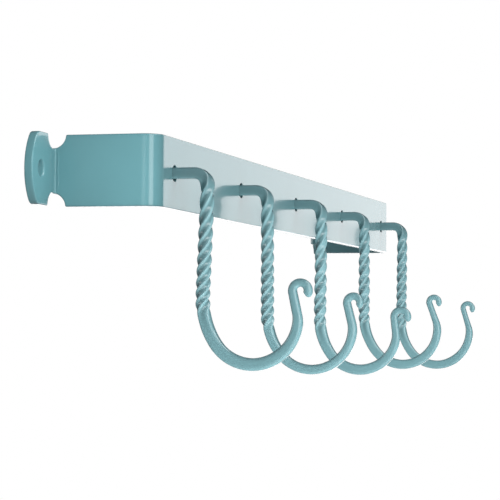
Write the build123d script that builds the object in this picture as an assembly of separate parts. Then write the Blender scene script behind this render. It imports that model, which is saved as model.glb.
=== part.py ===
"""Wall rail with five forged hooks, all in millimetres.

One flat steel bar is bent into a wide, shallow bracket: a plate across the
front, an arm at each end running back to the wall, and a round-ended tab
turned outwards from each arm and drilled for a screw.  Five hooks of square
bar pass through round holes in the plate and are welded behind it.  Each
hook turns down close to the plate, is twisted along its shank, and is then
forged into a round bow that ends in a small scroll turned outwards.

X runs along the rail, +Z is up, the wall is the plane Y = 0 and the room is
on the -Y side.  The origin is midway between the two screw holes.
"""
import os
from math import cos, radians, sin, sqrt

from build123d import *

# Flat bar
BAR_HEIGHT = 38.1            # 1 1/2 in flat bar
BAR_THICK = 4.76             # 3/16 in
STAND_OFF = 62.3             # wall to the front face of the plate
FRONT_BEND_INSIDE = 5.3      # inside radius of the two front bends
TAB_BEND_INSIDE = 0.8        # nearly sharp crease where a tab turns out

# Hooks along the rail
HOOK_COUNT = 5
HOOK_SPACING = 127.0         # 5 in between hooks
END_MARGIN = 27.8            # outer face of an arm to the middle of its hook

# Wall tabs
TAB_LENGTH = 31.7            # from the arm's outer face to the tip
TAB_TIP_RADIUS = 26.5
TAB_CORNER_RADIUS = 6.0
SCREW_HOLE = 7.94            # 5/16 in
SCREW_EASE = 1.3             # depth and width of the eased rim
SCREW_FROM_TIP = 12.9

# Relief notches, punched over the bend line before bending
NOTCH_RADIUS = 7.5
NOTCH_DEPTH = 7.2            # from the bar's edge to the bottom of the notch
NOTCH_SHIFT = 1.6            # its middle lies this far past the bend line

# Hook bar
BAR_SQUARE = 6.35            # 1/4 in square bar
BAR_ROUND = 1.25             # worn corner of the bar
HOLE_CLEARANCE = 0.35        # stem corner to the wall of its hole
STEM_BEND = 7.0              # centre-line radius where the stem turns down
TWIST_QUARTERS = 9           # quarter turns in the shank

# Weld behind the plate
WELD_HEIGHT = 2.8
WELD_LEG = 3.2               # how far the weld reaches past the hole
WELD_TOP = 0.9               # weld left round the stem at its top
TAIL = 0.9                   # stem left standing past the weld

# Bow: centre-line radii and turns in degrees, and the forged sections
ENTRY_TURN = 37.0            # where the bow leaves the shank
RISE_RADIUS, RISE_TURN = 17.0, 22.0
SCROLL_TURN = 225.0
BELLY_EVEN = 0.6             # part of the belly that keeps its full section
BELLY = (5.6, 7.0, 2.0)      # across, deep, corner radius
RISE = (5.4, 5.8, 2.0)
NECK = (5.0, 5.1, 1.9)
SCROLL = (4.6, 4.4, 1.8)
TIP = (5.0, 5.0, 1.8)
TIP_ROUND = 1.2

# Each hook is made by hand: plate to the centre-line of its shank, lean
# towards the wall in degrees, length of the twisted shank, radii of the bow
# where it leaves the shank and in its belly, length of the neck, how far the
# neck leans back over the bow in degrees, and radius of the scroll
HOOKS = (
    (18.4, 2.1, 58.0, 42.0, 24.5, 11.5, 12.0, 4.2),
    (16.1, -0.4, 66.0, 37.5, 24.3, 11.0, 14.0, 3.8),
    (17.0, 0.5, 66.0, 39.0, 23.6, 9.5, 7.0, 4.3),
    (16.2, -0.1, 62.5, 40.5, 24.4, 13.0, 20.0, 3.4),
    (16.6, 0.5, 64.5, 38.0, 24.8, 13.0, 17.0, 3.5),
)

# Worked out from the sizes above
PLATE_WIDTH = (HOOK_COUNT - 1) * HOOK_SPACING + 2 * END_MARGIN
ARM_X = PLATE_WIDTH / 2
TIP_X = ARM_X + TAB_LENGTH
SCREW_X = TIP_X - SCREW_FROM_TIP
HALF_HEIGHT = BAR_HEIGHT / 2
SQUARE = (BAR_SQUARE, BAR_SQUARE, BAR_ROUND)
STEM_CORNER = BAR_SQUARE / sqrt(2) - BAR_ROUND * (sqrt(2) - 1)
STEM_HOLE_R = STEM_CORNER + HOLE_CLEARANCE
PLATE_BACK = -STAND_OFF + BAR_THICK


def rail_outline():
    """Plan of the bent bar: its front edge, its back edge and the two ends."""
    t = BAR_THICK
    front_bend = FRONT_BEND_INSIDE + t
    tab_bend = TAB_BEND_INSIDE + t
    front = FilletPolyline(
        (-TIP_X, -t), (-ARM_X, -t), (-ARM_X, -STAND_OFF),
        (ARM_X, -STAND_OFF), (ARM_X, -t), (TIP_X, -t),
        radius=[TAB_BEND_INSIDE, front_bend, front_bend, TAB_BEND_INSIDE])
    back = FilletPolyline(
        (-TIP_X, 0), (-ARM_X + t, 0), (-ARM_X + t, PLATE_BACK),
        (ARM_X - t, PLATE_BACK), (ARM_X - t, 0), (TIP_X, 0),
        radius=[tab_bend, FRONT_BEND_INSIDE, FRONT_BEND_INSIDE, tab_bend])
    ends = [Line((side * TIP_X, -t), (side * TIP_X, 0)) for side in (-1, 1)]
    return make_face(front.edges() + back.edges() + ends)


def tab_waste(side):
    """The corners sheared off one tab to leave its round end."""
    reach = 2 * TAB_TIP_RADIUS
    round_end = Circle(TAB_TIP_RADIUS)
    strip = Pos(TAB_TIP_RADIUS, 0) * Rectangle(2 * reach, BAR_HEIGHT)
    keep = round_end & strip
    corners = keep.vertices().sort_by(Axis.X)[:2]
    keep = fillet(corners, TAB_CORNER_RADIUS)
    half = Pos(-reach / 4, 0) * Rectangle(reach / 2, 2 * BAR_HEIGHT)
    waste = extrude(Plane.XZ * (half - keep), BAR_THICK + 2, both=True)
    waste = Pos(-TIP_X + TAB_TIP_RADIUS, 0, 0) * waste
    return waste if side < 0 else mirror(waste, Plane.YZ)


def notch_cuts(side, edge):
    """The punched notch over one tab bend, cut through the tab and the arm."""
    t = BAR_THICK
    z = edge * (HALF_HEIGHT + NOTCH_RADIUS - NOTCH_DEPTH)
    tab_x = side * (ARM_X + NOTCH_SHIFT)
    through_tab = Pos(tab_x, 0, z) * Rot(90, 0, 0) * Cylinder(NOTCH_RADIUS, 4 * t)
    bend = Pos(tab_x, 0, z) * Box(
        4 * NOTCH_RADIUS, 2 * t + 2 * TAB_BEND_INSIDE, 4 * NOTCH_RADIUS)
    through_arm = Pos(side * (ARM_X - t / 2), NOTCH_SHIFT - t, z) * Rot(0, 90, 0) * Cylinder(
        NOTCH_RADIUS, t + 2 * TAB_BEND_INSIDE)
    return [through_tab & bend, through_arm]


def screw_cut(side):
    """A screw hole through one tab, with its front rim eased."""
    t = BAR_THICK
    r = SCREW_HOLE / 2
    hole = Cylinder(r, 4 * t)
    rim = Pos(0, 0, t - SCREW_EASE / 2) * Cone(r, r + SCREW_EASE, SCREW_EASE)
    return Pos(side * SCREW_X, 0, 0) * Rot(90, 0, 0) * (hole + rim)


def hook_x(i):
    return (i - (HOOK_COUNT - 1) / 2) * HOOK_SPACING


def make_rail():
    rail = extrude(rail_outline(), HALF_HEIGHT, both=True)
    for side in (-1, 1):
        rail -= tab_waste(side)
        for edge in (-1, 1):
            for cut in notch_cuts(side, edge):
                rail -= cut
        rail -= screw_cut(side)
    stem_hole = Rot(90, 0, 0) * Cylinder(STEM_HOLE_R, 4 * BAR_THICK)
    for i in range(HOOK_COUNT):
        rail -= Pos(hook_x(i), PLATE_BACK - BAR_THICK / 2, 0) * stem_hole
    return rail


def heading(angle):
    return cos(radians(angle)), sin(radians(angle))


def section(point, angle, wide, deep, corner):
    """A rounded rectangle square to the path, across the hook by depth."""
    out, up = heading(angle)
    plane = Plane(origin=point, x_dir=(0, 0, 1), z_dir=(out, up, 0))
    return plane * RectangleRounded(wide, deep, corner)


def bow_pieces(i):
    """Radius (minus bends outwards), turn or length, and section at the end."""
    _, lean, _, entry, belly, neck, neck_lean, scroll = HOOKS[i]
    belly_turn = 180 + neck_lean + lean - ENTRY_TURN - RISE_TURN
    first = BELLY_EVEN * belly_turn
    return (
        (entry, ENTRY_TURN, BELLY),
        (belly, first, BELLY),
        (belly, belly_turn - first, RISE),
        (RISE_RADIUS, RISE_TURN, NECK),
        (None, neck, NECK),
        (-scroll, SCROLL_TURN / 2, SCROLL),
        (-scroll, SCROLL_TURN / 2, TIP))


def make_bow(i, start, angle):
    """The forged bow, neck and scroll, each piece tangent to the last."""
    bow = []
    face = section(start, angle, *SQUARE)
    for radius, amount, size in bow_pieces(i):
        if radius is None:
            run = Line(start, start + amount * Vector(*heading(angle)))
        else:
            turn = amount if radius > 0 else -amount
            run = JernArc(start, heading(angle), abs(radius), turn)
            angle += turn
        start = run @ 1
        end_face = section(start, angle, *size)
        bow.append(sweep([face, end_face], Wire([run]), multisection=True))
        face = end_face
    tip = bow[-1].faces().sort_by_distance(start)[0]
    bow[-1] = fillet(tip.edges(), TIP_ROUND)
    return bow


def make_hook(i):
    """One hook, drawn flat with X out from the plate and Y up."""
    reach, lean, length, *_ = HOOKS[i]
    tail = -(BAR_THICK + WELD_HEIGHT + TAIL)
    stem = Line((tail, 0), (reach - STEM_BEND, 0))
    bend = JernArc(stem @ 1, stem % 1, STEM_BEND, -90 - lean)
    top = sweep(section(stem @ 0, 0, *SQUARE), Wire([stem, bend]))

    angle = -90 - lean
    start = bend @ 1
    run = length * Vector(*heading(angle))
    shank = Solid.extrude_linear_with_rotation(
        section(start, angle, *SQUARE).face(), start, run, 90 * TWIST_QUARTERS)
    flat = top + shank
    for piece in make_bow(i, start + run, angle):
        flat += piece
    plane = Plane(origin=(hook_x(i), -STAND_OFF, 0), x_dir=(0, -1, 0), z_dir=(-1, 0, 0))
    return plane.location * flat


def make_weld(i):
    """The weld bead behind the plate, closing the hole round the stem."""
    base = STEM_HOLE_R + WELD_LEG
    bead = Cone(base, STEM_CORNER + WELD_TOP, WELD_HEIGHT)
    bead = Pos(0, 0, WELD_HEIGHT / 2) * bead
    bead -= extrude(RectangleRounded(*SQUARE), 3 * WELD_HEIGHT, both=True)
    return Pos(hook_x(i), PLATE_BACK, 0) * Rot(-90, 0, 0) * bead


def main():
    os.makedirs("parts", exist_ok=True)
    nodes = {"rail": make_rail()}
    for i in range(HOOK_COUNT):
        nodes[f"hook_{i + 1}"] = make_hook(i)
        nodes[f"hook_weld_{i + 1}"] = make_weld(i)
    for name, shape in nodes.items():
        solids = shape.solids()
        print(name, len(solids), round(shape.volume, 1), shape.is_valid)
        export_step(solids[0] if len(solids) == 1 else shape, f"parts/{name}.step")


main()
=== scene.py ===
"""A wall rail with five twisted, forged hooks, all under one gloss teal coat.

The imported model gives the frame: X runs along the rail, the wall is Y = 0,
the room is on the -Y side and Z is up.  Sizes below are in millimetres.
"""
from collections import namedtuple
from math import cos, pi, radians, sin, sqrt

import bmesh
import bpy
import numpy as np
from mathutils import Matrix, Vector


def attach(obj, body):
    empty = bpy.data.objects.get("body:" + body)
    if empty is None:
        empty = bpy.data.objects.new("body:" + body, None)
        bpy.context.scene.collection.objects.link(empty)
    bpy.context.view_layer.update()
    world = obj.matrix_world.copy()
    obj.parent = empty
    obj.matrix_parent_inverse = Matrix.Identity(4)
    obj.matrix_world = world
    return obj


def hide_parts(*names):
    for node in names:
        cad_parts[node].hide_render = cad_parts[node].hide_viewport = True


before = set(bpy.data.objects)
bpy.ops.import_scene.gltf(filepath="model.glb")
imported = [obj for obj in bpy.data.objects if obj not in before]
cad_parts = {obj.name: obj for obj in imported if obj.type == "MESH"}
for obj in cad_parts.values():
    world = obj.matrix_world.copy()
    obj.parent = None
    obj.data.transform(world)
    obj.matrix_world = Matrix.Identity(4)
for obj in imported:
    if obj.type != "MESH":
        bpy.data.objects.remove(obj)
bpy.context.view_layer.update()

MM = 0.001

# ---------------------------------------------------------------- sizes, mm
BAR_HEIGHT, BAR_THICK = 38.1, 4.76
HALF = BAR_HEIGHT / 2
STAND_OFF = 62.3
FRONT_BEND = 5.3 + BAR_THICK          # radius of the bend at the front face
TAB_BEND = 0.8                        # radius of the crease at the front face
HOOK_SPACING, HOOK_COUNT, END_MARGIN = 127.0, 5, 27.8
ARM_X = (HOOK_COUNT - 1) * HOOK_SPACING / 2 + END_MARGIN
TAB_LENGTH, TAB_TIP_RADIUS, TAB_CORNER_RADIUS = 31.7, 26.5, 6.0
SCREW_R, SCREW_EASE, SCREW_FROM_TIP = 3.97, 1.3, 12.9
NOTCH_RADIUS, NOTCH_SHIFT = 7.5, 1.58
EDGE_ROUND = 0.75                     # rolled and painted edge of the bar
NOTCH_LIP = 0.8                       # rounded lip where a notch meets the edge
NOTCH_SWEEP = 82.4                    # degrees a lip turns, half what a notch does
NOTCH_HALF = 8.227                    # half the mouth of a notch, lips included
TIP_SWEEP = 39.53                     # degrees of a tab's tip before its corner
HOLE_ROUND = 0.4                      # softened rim of a hole

BAR_SQUARE, BAR_ROUND = 6.35, 1.25
STEM_HOLE_R = BAR_SQUARE / sqrt(2) - BAR_ROUND * (sqrt(2) - 1) + 0.35
STEM_BEND = 7.0
WELD_HEIGHT, TAIL = 2.8, 0.9
ENTRY_TURN, RISE_RADIUS, RISE_TURN, SCROLL_TURN = 37.0, 17.0, 22.0, 225.0

# The hooks as forged: plate to shank, lean to the wall, length of the shank,
# radii of the bow where it leaves the shank and in its belly, length of the
# neck, its lean back over the bow, and radius of the scroll
HOOKS = (
    (18.4, 2.1, 58.0, 42.0, 24.5, 11.5, 12.0, 4.2),
    (16.1, -0.4, 66.0, 37.5, 24.3, 11.0, 14.0, 3.8),
    (17.0, 0.5, 66.0, 39.0, 23.6, 9.5, 7.0, 4.3),
    (16.2, -0.1, 62.5, 40.5, 24.4, 13.0, 20.0, 3.4),
    (16.6, 0.5, 64.5, 38.0, 24.8, 13.0, 17.0, 3.5),
)
# How each was worked: quarter turns of twist, how far the twist runs into the
# bow, how oblong its bar is, thickness of its bow and of its scroll, radius of
# its tip, how far its scroll is closed in past the others, and hammering seed
Work = namedtuple("Work", "quarters run_out oblong stout fine bulb closed seed")
WORK = [Work(*row) for row in (
    (10, 11.0, 0.01, 1.00, 1.00, 2.45, 10, 11),
    (11, 10.0, 0.03, 0.99, 0.97, 2.4, 15, 12),
    (10, 8.5, 0.09, 0.98, 1.00, 2.5, 0, 13),
    (10, 8.5, 0.06, 0.96, 0.90, 2.0, 20, 14),
    (10, 8.5, 0.03, 0.94, 0.87, 2.0, 20, 15),
)]

# Mesh: quads across the bar, half the square of mesh round a stem hole, and
# how the points are shared out across the bar, closer at its edges
ROWS = 34
BLOCK = 17.0
SHARE = np.concatenate([[0.0, 0.012, 0.035], np.linspace(0.075, 0.925, ROWS - 5),
                        [0.965, 0.988, 1.0]])


def hook_x(i):
    """Where a hook sits along the rail, the middle one at 0."""
    return (i - (HOOK_COUNT - 1) / 2) * HOOK_SPACING


# ------------------------------------------------------------- line and mesh
def trace(start, heading, pieces):
    """Points and headings along runs and arcs joined end to end.

    Each piece is (radius, amount, steps).  A run has no radius and its amount
    is a length.  An arc turns by amount degrees, to the left if positive: its
    points are its centre plus its radius at the heading less a right angle.
    """
    point, angle = np.array(start, float), radians(heading)
    points, angles, lengths, at = [point[None]], [np.array([angle])], [np.zeros(1)], 0.0
    for radius, amount, steps in pieces:
        share = np.arange(1, steps + 1) / steps
        if radius is None:
            turned = np.full(steps, angle)
            new = point + share[:, None] * amount * np.array([cos(angle), sin(angle)])
            length = amount
        else:
            side = 1.0 if amount > 0 else -1.0
            turned = angle + share * radians(amount)
            centre = point + side * radius * np.array([-sin(angle), cos(angle)])
            new = centre + side * radius * np.stack([np.sin(turned), -np.cos(turned)], 1)
            length = abs(radius * radians(amount))
        points.append(new)
        angles.append(turned)
        lengths.append(at + share * length)
        point, angle, at = new[-1], turned[-1], at + length
    return np.concatenate(points), np.concatenate(angles), np.concatenate(lengths)


def grid_faces(rows, columns, wrap=False, start=0):
    """Quads between neighbouring points of a grid, closed across if wrapped."""
    i = np.arange(rows - 1)[:, None]
    j = np.arange(columns if wrap else columns - 1)[None, :]
    k = (j + 1) % columns
    quads = np.stack([i * columns + j, i * columns + k,
                      (i + 1) * columns + k, (i + 1) * columns + j], -1)
    return quads.reshape(-1, 4) + start


def make_piece(name, points, faces, material, nodes, merge=0.0, values=None):
    """A closed smooth mesh in metres at the origin, standing for CAD nodes."""
    mesh = bpy.data.meshes.new(name)
    mesh.from_pydata(np.asarray(points, float) * MM, [], [list(f) for f in faces])
    for label, data in (values or {}).items():
        layer = mesh.attributes.new(label, "FLOAT", "POINT")
        layer.data.foreach_set("value", np.asarray(data, np.float32))
    work = bmesh.new()
    work.from_mesh(mesh)
    if merge:
        bmesh.ops.remove_doubles(work, verts=work.verts, dist=merge * MM)
    bmesh.ops.recalc_face_normals(work, faces=work.faces)
    if work.calc_volume(signed=True) < 0:
        bmesh.ops.reverse_faces(work, faces=work.faces)
    work.to_mesh(mesh)
    work.free()
    mesh.polygons.foreach_set("use_smooth", np.ones(len(mesh.polygons), bool))
    mesh.materials.append(material)
    piece = bpy.data.objects.new(name, mesh)
    bpy.context.scene.collection.objects.link(piece)
    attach(piece, "root")
    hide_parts(*nodes)
    return piece


def smooth(x):
    """0 below 0, 1 above 1 and a smooth step between."""
    x = np.clip(x, 0.0, 1.0)
    return x * x * (3 - 2 * x)


def wander(x, seed, scale):
    """A slow, seeded wave along a length: five sines of falling height."""
    rng = np.random.default_rng(seed)
    total = np.zeros_like(x)
    for n in range(5):
        total += np.sin(x / scale * (0.7 + 1.1 * n) + rng.uniform(0, 2 * pi)) / (1 + n)
    return total / 2.3


# --------------------------------------------------------------------- rail
S_FRONT = ARM_X - FRONT_BEND                       # plate ends, bend begins
S_ARM = S_FRONT + FRONT_BEND * pi / 2              # bend ends, arm begins
S_CREASE = S_ARM + STAND_OFF - FRONT_BEND - BAR_THICK - TAB_BEND
S_TAB = S_CREASE + TAB_BEND * pi / 2               # crease ends, tab begins
S_TIP = S_TAB + TAB_LENGTH - TAB_BEND


def fold(s, z, w):
    """Bend the flat bar: s along its front face, z up, w down into its steel.

    The plate keeps s as X.  Each bend turns s over its radius into an angle,
    with the radius less w at the front bend and plus w at the crease.
    """
    side, a = np.where(s < 0, -1.0, 1.0), np.abs(s)
    x, y = a.copy(), w - STAND_OFF
    t = np.clip((a - S_FRONT) / FRONT_BEND, 0, pi / 2)
    bend = a > S_FRONT
    r = FRONT_BEND - w
    x = np.where(bend, S_FRONT + r * np.sin(t), x)
    y = np.where(bend, -STAND_OFF + FRONT_BEND - r * np.cos(t), y)
    y = np.where(a > S_ARM, -STAND_OFF + FRONT_BEND + a - S_ARM, y)
    t = np.clip((a - S_CREASE) / TAB_BEND, 0, pi / 2)
    bend = a > S_CREASE
    r = TAB_BEND + w
    x = np.where(bend, ARM_X + TAB_BEND - r * np.cos(t), x)
    y = np.where(bend, -BAR_THICK - TAB_BEND + r * np.sin(t), y)
    x = np.where(a > S_TAB, ARM_X + TAB_BEND + a - S_TAB, x)
    return np.stack([side * x, y, z], -1)


def rail_edge():
    """The top edge of the right half, from the tip to the middle of the plate.

    Arcs and runs are traced from the tip back: the round end, its corner, the
    lip and hollow of the notch, and the long straight edge.  Returns points,
    outward directions, and the point where the full-height strips begin.
    """
    s_notch = S_CREASE + NOTCH_SHIFT + TAB_BEND
    tip = [(TAB_TIP_RADIUS, TIP_SWEEP, 26), (TAB_CORNER_RADIUS, 90 - TIP_SWEEP, 14)]
    points, _, _ = trace((S_TIP, 0.0), 90, tip)
    run = points[-1][0] - (s_notch + NOTCH_HALF)
    pieces = tip + [(None, run - 1.5, 3), (None, 1.5, 4), (NOTCH_LIP, NOTCH_SWEEP, 6),
                    (NOTCH_RADIUS, -2 * NOTCH_SWEEP, 96), (NOTCH_LIP, NOTCH_SWEEP, 6),
                    (None, 2.0, 3)]
    points, angles, _ = trace((S_TIP, 0.0), 90, pieces)
    cut = sum(steps for _, _, steps in pieces[:3])
    # straight on to the front bend, round it, and along the plate
    s0 = points[-1][0]
    stops = [np.linspace(s0, S_ARM, 17)[1:], np.linspace(S_ARM, S_FRONT, 19)[1:]]
    at = S_FRONT
    for i in range(HOOK_COUNT // 2, -1, -1):
        x = i * HOOK_SPACING
        left = max(x - BLOCK, 0.0)
        stops.append(np.linspace(at, x + BLOCK, max(3, int((at - x - BLOCK) / 3.2)))[1:])
        stops.append(np.linspace(x + BLOCK, left, 13 if i else 7)[1:])
        at = left
    straight = np.concatenate(stops)
    more = np.stack([straight, np.full(len(straight), points[-1][1])], 1)
    points = np.concatenate([points, more])
    angles = np.concatenate([angles, np.full(len(straight), angles[-1])])
    out = np.stack([np.sin(angles), -np.cos(angles)], 1)
    return points, out, cut


def rim(turns=5):
    """Inset and depth across the bar's edge: front round, wall, back round."""
    t = np.linspace(0, pi / 2, turns + 1)
    inset, depth = EDGE_ROUND * (1 - np.sin(t)), EDGE_ROUND * (1 - np.cos(t))
    wall = np.linspace(EDGE_ROUND, BAR_THICK - EDGE_ROUND, 5)[1:-1]
    return (np.concatenate([inset, np.zeros(3), inset[::-1]]),
            np.concatenate([depth, wall, BAR_THICK - depth[::-1]]))


def hole_wall(hole, ease, turns, middle):
    """Radius and depth down a hole: eased front rim, wall, softened back rim.

    Each rim is a quarter circle: the radius grows by its size less its size
    times the sine, and the depth by its size less its size times the cosine.
    """
    front, back = np.linspace(0, pi / 2, turns), np.linspace(0, pi / 2, 5)
    radius = np.concatenate([ease * (1 - np.sin(front)), np.zeros(len(middle)),
                             HOLE_ROUND * (1 - np.sin(back))[::-1]])
    depth = np.concatenate([ease * (1 - np.cos(front)), middle,
                            BAR_THICK - HOLE_ROUND * (1 - np.cos(back))[::-1]])
    return hole + radius, depth


def fill(inner, outer, shares):
    """A grid from one line of points to another, at the given shares between."""
    return inner[None] + shares[:, None, None] * (outer - inner)[None]


def crease_bead(s, z):
    """Height of the paint and scale bead beside the crease, in mm.

    A bell curve of the distance to the crease, which wavers with a sine of z,
    times a slower sine of z, and fading out before the notches.
    """
    a = S_CREASE - np.abs(s)
    along = z / 1.7 + np.sign(s) * 2.0
    ridge = np.exp(-((a - 0.95 - 0.15 * np.sin(along)) / 0.32) ** 2)
    lumps = 0.75 + 0.25 * np.sin(along * 1.9)
    return 0.28 * ridge * lumps * smooth((10.4 - np.abs(z)) / 1.5)


def make_rail(material):
    """The bar: two flat faces, rims round its outline and its seven holes."""
    edge, out, cut = rail_edge()
    face = edge - EDGE_ROUND * out                 # where the flat face ends
    parts, faces, count = [], [], 0

    def add(grid, depth, wrap=False):
        """Put a grid of blank points in at one depth, or at a depth each."""
        nonlocal count
        rows, columns = grid.shape[:2]
        depth = np.broadcast_to(depth, grid.shape[:2])
        flat = np.concatenate([grid, depth[..., None]], -1).reshape(-1, 3)
        parts.append(flat)
        faces.append(grid_faces(rows, columns, wrap, count))
        count += rows * columns

    def both(grid, wrap=False):
        add(grid, 0.0, wrap)
        add(grid, BAR_THICK, wrap)

    flip_z, flip_s = np.array([1.0, -1.0]), np.array([-1.0, 1.0])
    # full-height strips from the tab's line to the middle, less the squares
    # round the stem holes
    s_line = face[cut:, 0]
    inside_hole = np.zeros(len(s_line) - 1, bool)
    middle = (s_line[1:] + s_line[:-1]) / 2
    for i in range(HOOK_COUNT):
        inside_hole |= np.abs(middle - hook_x(i)) < BLOCK
    change = np.diff(np.concatenate([[1], inside_hole.astype(int), [1]]))
    for a, b in zip(np.flatnonzero(change == -1), np.flatnonzero(change == 1)):
        line = face[cut + a:cut + b + 1]
        grid = fill(line * flip_z, line, SHARE).swapaxes(0, 1)
        both(grid)
        both(grid * flip_s)
    # squares round the stem holes
    side_z = (2 * SHARE - 1) * face[-1, 1]
    for i in range(HOOK_COUNT):
        x = hook_x(i)
        near = np.flatnonzero(np.abs(edge[cut:, 0] - abs(x)) < BLOCK + 0.01) + cut
        top = face[near]
        if x == 0:
            top = np.concatenate([top, (top * flip_s)[::-1][1:]])
        elif x < 0:
            top = (top * flip_s)[::-1]
        right = np.stack([np.full(len(side_z), x + BLOCK), side_z], 1)
        left = np.stack([np.full(len(side_z), x - BLOCK), side_z[::-1]], 1)
        loop = np.concatenate([right[:-1], top[:-1], left[:-1], (top * flip_z)[::-1][:-1]])
        angle = np.arctan2(loop[:, 1], loop[:, 0] - x)
        ring = np.stack([np.cos(angle), np.sin(angle)], 1)
        shares = np.array([0, 0.03, 0.09, 0.2, 0.36, 0.54, 0.72, 0.88, 1.0])
        both(fill([x, 0] + (STEM_HOLE_R + HOLE_ROUND) * ring, loop, shares), wrap=True)
        radius, depth = hole_wall(STEM_HOLE_R, HOLE_ROUND, 5, [1.8, 3.0])
        add([x, 0] + radius[:, None, None] * ring[None], depth[:, None], wrap=True)
    # tabs round their screw holes
    for sign in (1.0, -1.0):
        top = face[:cut + 1]
        line = fill((top[-1] * flip_z)[None], top[-1][None], SHARE)[:, 0][::-1]
        loop = np.concatenate([top[:-1], line[:-1], (top * flip_z)[::-1][:-1]])
        centre = np.array([S_TIP - SCREW_FROM_TIP, 0.0])
        angle = np.arctan2(loop[:, 1], loop[:, 0] - centre[0])
        ring = np.stack([np.cos(angle), np.sin(angle)], 1)
        shares = np.array([0, 0.03, 0.1, 0.22, 0.38, 0.56, 0.74, 0.88, 0.97, 1.0])
        turn = np.array([sign, 1.0])
        for wide, depth in ((SCREW_R + SCREW_EASE, 0.0), (SCREW_R + HOLE_ROUND, BAR_THICK)):
            add(fill(centre + wide * ring, loop, shares) * turn, depth, wrap=True)
        radius, depth = hole_wall(SCREW_R, SCREW_EASE, 9, [2.2, 3.2])
        add((centre + radius[:, None, None] * ring[None]) * turn, depth[:, None], wrap=True)
    # rim all round the outline
    half = np.concatenate([edge, (edge * flip_s)[::-1][1:]])
    half_out = np.concatenate([out, (out * flip_s)[::-1][1:]])
    whole = np.concatenate([half, (half * flip_z)[::-1][1:-1]])
    whole_out = np.concatenate([half_out, (half_out * flip_z)[::-1][1:-1]])
    inset, depth = rim()
    grid = whole[None] - inset[:, None, None] * whole_out[None]
    add(grid, depth[:, None], wrap=True)

    flat = np.concatenate(parts)
    s, z, w = flat[:, 0], flat[:, 1], flat[:, 2]
    w = w - crease_bead(s, z) * (1 - w / BAR_THICK) * (w < 1.0)
    points = fold(s, z, w)
    # Painted shade: the bar is darker along its top and bottom edges, on the rounded edge.
    painted_light_mask = np.exp(-(HALF - np.abs(z)) / 0.9)
    return make_piece("painted_rail", points, np.concatenate(faces), material,
                      ["rail"], merge=0.002, values={"edge": painted_light_mask})


# -------------------------------------------------------------------- hooks
AROUND = 56                                        # points round a hook's bar
DOME = 2.0                                         # length of a tip's dome
DOME_TURN = np.linspace(0, pi / 2, 9)[:-1]


def hook_line(row, closed=0.0, step=0.3):
    """The centre-line of a hook from its tail to its scroll, out and up."""
    reach, lean, shank, entry, belly, neck, neck_lean, scroll = row
    belly_turn = 180 + neck_lean + lean - ENTRY_TURN - RISE_TURN
    tail = BAR_THICK + WELD_HEIGHT + TAIL
    pieces = [
        (None, 0.15, 1), (None, 0.35, 2), (None, tail + reach - STEM_BEND - 0.5, 26),
        (STEM_BEND, -90 - lean, 26),
        (None, shank, int(shank / step)),
        (entry, ENTRY_TURN, int(entry * radians(ENTRY_TURN) / 0.35)),
        (belly, belly_turn, 140), (RISE_RADIUS, RISE_TURN, 12),
        (None, neck, 12), (scroll, -SCROLL_TURN - closed, 44),
    ]
    points, angles, lengths = trace((-tail, 0.0), 0, pieces)
    marks = np.cumsum([0.0] + [
        tail + reach - STEM_BEND, STEM_BEND * radians(90 + lean), shank,
        entry * radians(ENTRY_TURN), belly * radians(belly_turn),
        RISE_RADIUS * radians(RISE_TURN), neck, scroll * radians(SCROLL_TURN + closed)])
    return points, angles, lengths, marks


def hook_stations(i):
    """A hook's line with a domed tip: places, headings, lengths and the marks."""
    points, angles, length, mark = hook_line(HOOKS[i], WORK[i].closed)
    last = mark[-1] - DOME
    dome = last + DOME * np.sin(DOME_TURN)
    where = np.concatenate([length[length < last], dome])
    place = [np.interp(where, length, row) for row in (points[:, 0], points[:, 1], angles)]
    return (*place, where, mark)


def hook_section(i, length, mark):
    """Half-width, half-depth and power of the section at each length.

    The forged sizes slide from one station to the next.  The bow is scaled by
    its own thickness, the scroll by another up to the bulb, and the twisted
    shank is made a little oblong.  Also returns how far each place is twisted.
    """
    work, bulb = WORK[i], WORK[i].bulb
    top, bottom, bow, rise, neck, scroll, tip = mark[2:]
    even = bow + 0.6 * (rise - bow)
    bar = BAR_SQUARE / 2
    stations = [0, top, bottom - 3, bow, even, rise, neck, scroll, (scroll + tip) / 2, tip - 2, tip]
    across = np.interp(length, stations, [bar * 0.96, bar * 0.97, bar, 2.85, 2.8, 2.75, 2.6,
                                          2.5, 2.3, 0.9 * bulb, 0.9 * bulb])
    deep = np.interp(length, stations, [bar * 0.96, bar * 0.97, bar, 3.4, 3.42, 2.9, 2.55,
                                        2.45, 2.2, bulb, bulb])
    power = np.interp(length, stations, [6.5, 6.0, 6.0, 4.4, 3.3, 2.9, 2.8, 2.8, 2.6, 2.4, 2.3])
    before_bulb = length < tip - 5
    drawn = np.where(before_bulb, smooth((length - rise) / 14),
                     np.clip((tip - 2 - length) / 3, 0, 1))
    forged = smooth((length - bottom) / 20) * before_bulb
    scale = (1 + (work.fine - 1) * drawn) * (1 + (work.stout - 1) * forged)
    twisted = smooth((length - top) / 6) * (1 - smooth((length - bottom - 4) / 18))
    oblong = work.oblong * twisted
    return across * scale * (1 - oblong), deep * scale * (1 + oblong), power, twisted


def hook_twist(i, length, mark):
    """Angle of the twist so far: slow under the top bend, tighter to the bow.

    The rate of turning is added up along the shank, and the whole is scaled
    to the hook's number of quarter turns.
    """
    work = WORK[i]
    begin, end = mark[2] - 6.0, mark[3] + work.run_out
    part = np.clip((length - begin) / (end - begin), 0, 1)
    rate = np.interp(part, [0, 0.12, 0.5, 1], [0.07, 0.11, 0.156, 0.19])
    rate = rate * (1 + 0.10 * wander(length, work.seed, 9.0)) * (part > 0) * (part < 1)
    rate = rate * smooth((end - length) / 6.0)
    turned = np.concatenate([[0], np.cumsum((rate[1:] + rate[:-1]) / 2 * np.diff(length))])
    return -turned / turned[-1] * work.quarters * pi / 2


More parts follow.
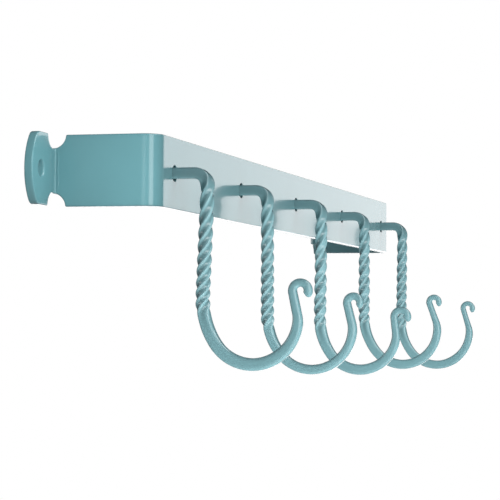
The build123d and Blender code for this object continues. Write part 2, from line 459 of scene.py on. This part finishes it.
def hammering(i, length, mark, turn):
    """Depth taken off each point: hammer marks, less a few grains of scale.

    Each mark and each grain is a bell curve of the distance along the bar
    times a bell curve of the angle round it.
    """
    bottom, bow, rise = mark[3], mark[4], mark[5]
    rng = np.random.default_rng(WORK[i].seed)
    depth = np.zeros((len(length), len(turn)))

    def spot(at, angle, long, wide):
        gap = np.angle(np.exp(1j * (turn[None] - angle)))
        return np.exp(-((length[:, None] - at) / long) ** 2 - (gap / wide) ** 2)

    for _ in range(46):
        at, angle = rng.uniform(bottom - 5, length[-1] - 8), rng.uniform(0, 2 * pi)
        long, wide, deep = rng.uniform(3, 9), rng.uniform(0.6, 1.0), rng.uniform(0.02, 0.08)
        depth += deep * spot(at, angle, long, wide)
    # grains lie under the paint on the side towards the rail's left end
    first = 0.32 if i == 0 else 0.42
    for grain in range(5 if i < 2 else 2):
        at = bow + (first + 0.035 * grain) * (rise - bow)
        depth -= 0.13 * spot(at, rng.uniform(-0.5, 0.5), 0.55, 0.5 / 3.0)
    return depth


def make_hook(i, material):
    """Square bar carried along the hook's line, twisted, then forged round.

    Each section is a rounded oblong: the cosine over the half-width and the
    sine over the half-depth are each raised to a power and added, and the
    radius is that sum to the power of minus one over the same power.  A high
    power is a square bar, a low one a round one.  The section is then turned
    by the twist so far.
    """
    out, up, angle, length, mark = hook_stations(i)
    across, deep, power, twisted = hook_section(i, length, mark)
    twist = hook_twist(i, length, mark)
    top = mark[2]
    turn = np.arange(AROUND) / AROUND * 2 * pi
    c, s = np.cos(turn)[None], np.sin(turn)[None]
    a, b, n = across[:, None], deep[:, None], power[:, None]
    radius = (np.abs(c / a) ** n + np.abs(s / b) ** n) ** (-1 / n)
    ridge = smooth((radius - a) / (0.24 * a))
    wave = 0.05 * wander(length, WORK[i].seed + 50, 6.0)[:, None]
    wave = wave * (1 + 0.6 * np.sin(turn[None] * 2 + 1))
    radius = radius - hammering(i, length, mark, turn) + wave * smooth((length - top) / 8)[:, None]
    # dome the tip and soften the sawn tail
    shrink = np.ones_like(length)
    shrink[-len(DOME_TURN):] = np.cos(DOME_TURN) * 0.97 + 0.03
    shrink[:4] = [0.86, 0.94, 0.985, 1.0]
    radius = radius * shrink[:, None]
    u, v = radius * c, radius * s
    ct, st = np.cos(twist)[:, None], np.sin(twist)[:, None]
    u, v = u * ct - v * st, u * st + v * ct
    # across the hook is -X; deep is square to the line in the hook's plane
    x = hook_x(i) - u
    y = -STAND_OFF - (out[:, None] - v * np.sin(angle)[:, None])
    z = up[:, None] + v * np.cos(angle)[:, None]
    skin = np.stack([x, y, z], -1).reshape(-1, 3)
    rings = len(length)
    ends = [skin[:AROUND].mean(0), skin[-AROUND:].mean(0)]
    k, after = np.arange(AROUND), (np.arange(AROUND) + 1) % AROUND
    last = (rings - 1) * AROUND
    fan_tail = np.stack([np.full(AROUND, rings * AROUND), after, k], 1)
    fan_tip = np.stack([np.full(AROUND, rings * AROUND + 1), last + k, last + after], 1)
    faces = [*grid_faces(rings, AROUND, wrap=True), *fan_tail, *fan_tip]
    # Painted shade: darker in the hollows between the twisted corners, and darker again along the
    # stem next to the plate.
    painted_shade = (1 - ridge) ** 2 * twisted[:, None]
    painted_shade = np.maximum(painted_shade, 1.1 * (1 - smooth((length - top + 4) / 12))[:, None])
    # Painted highlight: the twisted corners get paler paint.
    ridge = ridge * np.maximum(twisted, 0.2)[:, None]
    values = {"ridge": np.append(ridge, [0, 0]), "painted_shade": np.append(painted_shade, [0, 0])}
    return make_piece(f"forged_hook_{i + 1}", np.concatenate([skin, ends]), faces, material,
                      [f"hook_{i + 1}"], values=values)


def make_weld(i, material):
    """A ring of overlapping weld ripples round the stem, behind the plate.

    Round the stem by one angle and round the bead by another: the bead is an
    arch over the plate, its width and height swelling once for each ripple.
    """
    around, over = 132, 18
    turn = (np.arange(around) / around * 2 * pi)[:, None]
    arch = (np.arange(over) / over * 2 * pi)[None]
    saw = (turn / (2 * pi) * 15 + 0.22 * np.sin(turn * 3 + i)) % 1.0
    ripple = np.abs(np.sin(pi * saw)) ** 0.6
    reach = 1.95 + 0.28 * ripple + 0.15 * np.sin(2 * turn + i)
    height = 2.25 + 0.25 * ripple + 0.12 * np.sin(turn * 2 + 2 * i)
    middle = 4.9 + 0.1 * np.sin(turn + i)
    r = middle + reach * np.cos(arch)
    rise = height * np.clip(np.sin(arch), 0, 1) ** 0.8 + 0.05 * np.clip(np.sin(arch), -1, 0)
    x = hook_x(i) + r * np.cos(turn)
    y = -STAND_OFF + BAR_THICK + rise
    z = r * np.sin(turn)
    skin = np.stack([x, y, z], -1).reshape(-1, 3)
    faces = grid_faces(around + 1, over, wrap=True) % len(skin)
    return make_piece(f"weld_bead_{i + 1}", skin, faces, material,
                      [f"hook_weld_{i + 1}"])


# ---------------------------------------------------------------- materials
PEEL_DEPTH = 0.00006                               # metres


def new_group(name, inputs, outputs):
    """An empty shader node group with float and colour sockets."""
    group = bpy.data.node_groups.new(name, "ShaderNodeTree")
    for label, kind, value in inputs:
        socket = group.interface.new_socket(label, in_out="INPUT", socket_type=kind)
        socket.default_value = value
    for label, kind in outputs:
        group.interface.new_socket(label, in_out="OUTPUT", socket_type=kind)
    return group, group.nodes.new("NodeGroupInput"), group.nodes.new("NodeGroupOutput")


def feed(tree, sockets, values):
    """Set each socket to its number or colour, or link it to its output."""
    for socket, value in zip(sockets, values):
        if isinstance(value, (int, float, tuple)):
            socket.default_value = value
        else:
            tree.links.new(value, socket)


def maths(tree, operation, *values, clamp=False):
    """The output of a math node."""
    node = tree.nodes.new("ShaderNodeMath")
    node.operation, node.use_clamp = operation, clamp
    feed(tree, node.inputs, values)
    return node.outputs[0]


def blend_colour(tree, factor, a, b):
    """The colour that is a where the factor is 0 and b where it is 1."""
    node = tree.nodes.new("ShaderNodeMix")
    node.data_type = "RGBA"
    feed(tree, (node.inputs[0], node.inputs[6], node.inputs[7]), (factor, a, b))
    return node.outputs[2]


def noise(tree, scale, detail=2.0, rough=0.5):
    """Noise in the object's own coordinates, its scale in waves per metre."""
    node = tree.nodes.new("ShaderNodeTexNoise")
    place = tree.nodes.new("ShaderNodeTexCoord")
    node.inputs["Scale"].default_value = scale
    node.inputs["Detail"].default_value = detail
    node.inputs["Roughness"].default_value = rough
    tree.links.new(place.outputs["Object"], node.inputs["Vector"])
    return node.outputs["Fac"]


def paint_film():
    """Sprayed enamel: cloudy tone, painted light or shade blended in its own colour, painted shade
    that darkens the tone, and orange peel.
    """
    group, given, made = new_group(
        "enamel_film",
        [("Colour", "NodeSocketColor", (0.1, 0.3, 0.33, 1)),
         ("Painted_light_colour", "NodeSocketColor", (0.06, 0.2, 0.23, 1)),
         ("Painted_light", "NodeSocketFloat", 0.0),
         ("Painted_shade_amount", "NodeSocketFloat", 0.0),
         ("Cloud", "NodeSocketFloat", 0.1),
         ("Peel", "NodeSocketFloat", 0.5),
         ("Gloss", "NodeSocketFloat", 0.2)],
        [("Colour", "NodeSocketColor"), ("Roughness", "NodeSocketFloat"),
         ("Height", "NodeSocketFloat")])
    clouds = noise(group, 38.0, 3.0, 0.55)
    specks = noise(group, 620.0, 2.0, 0.6)
    shade = maths(group, "MULTIPLY_ADD", clouds, 2.0, -1.0)
    shade = maths(group, "MULTIPLY", shade, given.outputs["Cloud"])
    # painted shade darkens the tone where its amount is high
    painted_shade_part = maths(group, "MULTIPLY_ADD", given.outputs["Painted_shade_amount"], -1.0, 1.0)
    bright = maths(group, "ADD", shade, painted_shade_part)
    tone = group.nodes.new("ShaderNodeVectorMath")
    tone.operation = "SCALE"
    group.links.new(given.outputs["Colour"], tone.inputs[0])
    group.links.new(bright, tone.inputs[3])
    speckle = maths(group, "MULTIPLY_ADD", specks, 0.8, 0.6)
    # painted light or shade: blends in its own colour where the mask is high
    light_or_shade_mix = maths(group, "MULTIPLY", given.outputs["Painted_light"], speckle, clamp=True)
    colour = blend_colour(group, light_or_shade_mix, tone.outputs[0], given.outputs["Painted_light_colour"])
    group.links.new(colour, made.inputs["Colour"])
    rough = maths(group, "MULTIPLY_ADD", specks, 0.06, -0.03)
    rough = maths(group, "ADD", rough, given.outputs["Gloss"])
    rough = maths(group, "MULTIPLY_ADD", light_or_shade_mix, 0.05, rough)
    group.links.new(rough, made.inputs["Roughness"])
    fine = noise(group, 900.0, 2.0, 0.5)
    slow = noise(group, 210.0, 2.0, 0.5)
    height = maths(group, "MULTIPLY_ADD", fine, 0.25, slow)
    height = maths(group, "MULTIPLY", height, given.outputs["Peel"])
    group.links.new(height, made.inputs["Height"])
    return group


def enamel(name, film, colour, light_or_shade_colour, cloud, peel, gloss,
           attribute=None, amount=0.0, painted_shade_part=0.0):
    """Gloss enamel over steel, with painted light or shade where the attribute is high and painted
    shade from a second attribute.
    """
    material = bpy.data.materials.new(name)
    material.use_nodes = True
    tree = material.node_tree
    shader = tree.nodes["Principled BSDF"]
    node = tree.nodes.new("ShaderNodeGroup")
    node.node_tree = film
    labels = ("Colour", "Painted_light_colour", "Cloud", "Peel", "Gloss")
    feed(tree, [node.inputs[label] for label in labels],
         ((*colour, 1), (*light_or_shade_colour, 1), cloud, peel, gloss))
    # The attribute paints light or shade into the colour: painted shade along the rail's edges,
    # painted highlight on the hooks' twisted corners.
    if attribute:
        painted_light_mask = tree.nodes.new("ShaderNodeAttribute")
        painted_light_mask.attribute_name = attribute
        tree.links.new(maths(tree, "MULTIPLY", painted_light_mask.outputs["Fac"], amount), node.inputs["Painted_light"])
    # Painted shade from the hooks' second attribute: darker in the twist's hollows and on the
    # stems.
    if painted_shade_part:
        deep = tree.nodes.new("ShaderNodeAttribute")
        deep.attribute_name = "painted_shade"
        tree.links.new(maths(tree, "MULTIPLY", deep.outputs["Fac"], painted_shade_part), node.inputs["Painted_shade_amount"])
    bump = tree.nodes.new("ShaderNodeBump")
    bump.inputs["Strength"].default_value = 1.0
    bump.inputs["Distance"].default_value = PEEL_DEPTH
    tree.links.new(node.outputs["Height"], bump.inputs["Height"])
    tree.links.new(node.outputs["Colour"], shader.inputs["Base Color"])
    tree.links.new(node.outputs["Roughness"], shader.inputs["Roughness"])
    tree.links.new(bump.outputs["Normal"], shader.inputs["Normal"])
    shader.inputs["IOR"].default_value = 1.52
    shader.inputs["Coat Weight"].default_value = 0.5
    shader.inputs["Coat Roughness"].default_value = 0.07
    return material


# The rail, hooks and welds share one teal coat. The hooks' teal is made redder and paler as painted
# highlight. The deep teal is painted shade on the rail's edges, and the pale teal is painted
# highlight on the hooks' corners.
TEAL, HOOK_TEAL_WITH_SHEEN, WELD_TEAL = (0.108, 0.265, 0.292), (0.132, 0.262, 0.285), (0.110, 0.245, 0.270)
EDGE_SHADE_TEAL, HIGHLIGHT_TEAL = (0.060, 0.165, 0.190), (0.20, 0.36, 0.39)

film = paint_film()
rail_paint = enamel("rail_enamel", film, TEAL, EDGE_SHADE_TEAL, 0.06, 0.5, 0.22, "edge", 0.35)
hook_paint = enamel("hook_enamel", film, HOOK_TEAL_WITH_SHEEN, HIGHLIGHT_TEAL, 0.08, 0.12, 0.20,
                    "ridge", 0.45, 0.34)
weld_paint = enamel("weld_enamel", film, WELD_TEAL, EDGE_SHADE_TEAL, 0.12, 0.6, 0.30)

rail = make_rail(rail_paint)
hooks, welds = [], []
for i in range(HOOK_COUNT):
    hooks.append(make_hook(i, hook_paint))
    welds.append(make_weld(i, weld_paint))


# ------------------------------------------------------- floor, light, camera
FLOOR_Z, FLOOR_HALF = -0.9, 6.0                    # metres


def floor_material():
    """Pale matt floor that looks nearly white to the camera but bounces little light."""
    material = bpy.data.materials.new("pale_floor")
    material.use_nodes = True
    tree = material.node_tree
    shader = tree.nodes["Principled BSDF"]
    shader.inputs["Base Color"].default_value = (0.80, 0.80, 0.80, 1)
    shader.inputs["Roughness"].default_value = 0.8
    path = tree.nodes.new("ShaderNodeLightPath")
    white = tree.nodes.new("ShaderNodeEmission")
    white.inputs["Color"].default_value = (1, 1, 1, 1)
    white.inputs["Strength"].default_value = 1.0
    mix = tree.nodes.new("ShaderNodeMixShader")
    share = maths(tree, "MULTIPLY", path.outputs["Is Camera Ray"], 0.93)
    tree.links.new(share, mix.inputs[0])
    tree.links.new(shader.outputs[0], mix.inputs[1])
    tree.links.new(white.outputs[0], mix.inputs[2])
    tree.links.new(mix.outputs[0], tree.nodes["Material Output"].inputs[0])
    return material


def make_floor():
    """One large square below the rail."""
    mesh = bpy.data.meshes.new("floor")
    corners = [(x * FLOOR_HALF, y * FLOOR_HALF, FLOOR_Z)
               for x, y in ((-1, -1), (1, -1), (1, 1), (-1, 1))]
    mesh.from_pydata(corners, [], [(0, 1, 2, 3)])
    mesh.materials.append(floor_material())
    floor = bpy.data.objects.new("floor", mesh)
    bpy.context.scene.collection.objects.link(floor)


def studio_light(name, azimuth, height, distance, width, tall, watts, target, pieces, shiny):
    """A soft box at an azimuth from +X towards +Y, facing its target.

    It reaches only the pieces given, or everything if there are none, and it
    is left out of reflections unless it is shiny.
    """
    data = bpy.data.lights.new(name, "AREA")
    data.shape, data.size, data.size_y, data.energy = "RECTANGLE", width, tall, watts
    light = bpy.data.objects.new(name, data)
    a = radians(azimuth)
    place = Vector((cos(a) * distance, sin(a) * distance, height)) + Vector(target)
    light.location = place
    light.rotation_euler = (Vector(target) - place).to_track_quat("-Z", "Y").to_euler()
    bpy.context.scene.collection.objects.link(light)
    light.visible_camera = False
    light.visible_glossy = shiny
    if pieces:
        reach = bpy.data.collections.new(name + "_reach")
        for piece in pieces:
            reach.objects.link(piece)
        light.light_linking.receiver_collection = reach


def make_world():
    """White to the camera, and a dim room for light and reflections.

    The room ahead of the camera is darker, so it draws a thin dark line round
    every rounded edge; the rest is an even pale grey.  The blend follows the
    cosine of the angle to the line of sight.
    """
    world = bpy.data.worlds.new("studio")
    bpy.context.scene.world = world
    world.use_nodes = True
    nodes, links = world.node_tree.nodes, world.node_tree.links
    nodes.clear()
    out = nodes.new("ShaderNodeOutputWorld")
    mix = nodes.new("ShaderNodeMixShader")
    ray = nodes.new("ShaderNodeLightPath")
    seen, lit = nodes.new("ShaderNodeBackground"), nodes.new("ShaderNodeBackground")
    seen.inputs[0].default_value = (1, 1, 1, 1)
    heading = nodes.new("ShaderNodeTexCoord")
    ahead = nodes.new("ShaderNodeVectorMath")
    ahead.operation = "DOT_PRODUCT"
    ahead.inputs[1].default_value = (cos(radians(12)), sin(radians(12)), 0.0)
    links.new(heading.outputs["Generated"], ahead.inputs[0])
    share = nodes.new("ShaderNodeMapRange")
    share.interpolation_type = "SMOOTHSTEP"
    share.inputs["From Min"].default_value = 0.25
    share.inputs["From Max"].default_value = 0.95
    links.new(ahead.outputs["Value"], share.inputs["Value"])
    room = blend_colour(world.node_tree, share.outputs["Result"],
                        (0.23, 0.24, 0.25, 1), (0.05, 0.055, 0.06, 1))
    links.new(room, lit.inputs[0])
    links.new(ray.outputs["Is Camera Ray"], mix.inputs[0])
    links.new(lit.outputs[0], mix.inputs[1])
    links.new(seen.outputs[0], mix.inputs[2])
    links.new(mix.outputs[0], out.inputs[0])


make_floor()
MIDDLE, BOWS, LEFT_ARM = (0, -0.06, -0.03), (0.05, -0.1, -0.05), (-ARM_X * MM, -0.062, 0.0)
forged = [piece for pair in zip(hooks, welds) for piece in pair]
# azimuth, height, distance, width, height, watts, target, what it reaches
# (everything if nothing is named) and whether it shows in reflections
for row in (
        ("strip_behind_camera", 224, 0.5, 2.2, 0.95, 1.6, 14.5, MIDDLE, [], True),
        ("front_fill", 272, 1.9, 1.6, 2.2, 1.6, 38, MIDDLE, [], True),
        ("streak_left", 120, 0.5, 2.2, 0.5, 1.4, 8, MIDDLE, forged, True),
        ("hook_fill", 207, -0.2, 3.0, 2.4, 2.4, 28, BOWS, forged, True),
        ("panel_right", 340, 0.2, 2.4, 1.7, 2.0, 16.5, MIDDLE, [rail], True),
        ("low_glow", 10, -0.42, 2.6, 2.2, 0.6, 9, MIDDLE, [], True),
        ("back_fill", 72, 1.0, 3.0, 2.4, 2.0, 32, MIDDLE, [rail, *welds], True),
        ("arm_side", 180, 0.0, 0.085, 0.03, 0.07, 0.085, LEFT_ARM, [rail], False),
        ("bow_glow", 218, -0.62, 0.75, 0.9, 0.5, 13.5, (0.05, -0.12, -0.08), forged, False)):
    studio_light(*row)
make_world()
bpy.context.scene.view_settings.view_transform = "Standard"

# The camera looks along the rail from its left end, a little below it
yaw, pitch, roll = radians(16.001), radians(2.558), radians(0.466)
forward = Vector((cos(pitch) * cos(yaw), cos(pitch) * sin(yaw), sin(pitch)))
right = Vector((sin(yaw), -cos(yaw), 0))
above = right.cross(forward)
side = cos(roll) * right + sin(roll) * above
above = -sin(roll) * right + cos(roll) * above
lens = bpy.data.cameras.new("camera")
lens.lens, lens.sensor_width = 153.47, 36.0
lens.clip_end = 50.0
camera = bpy.data.objects.new("camera", lens)
camera.matrix_world = Matrix((
    (side[0], above[0], -forward[0], -1.3318),
    (side[1], above[1], -forward[1], -0.4134),
    (side[2], above[2], -forward[2], -0.0911),
    (0, 0, 0, 1)))
bpy.context.scene.collection.objects.link(camera)
bpy.context.scene.camera = camera
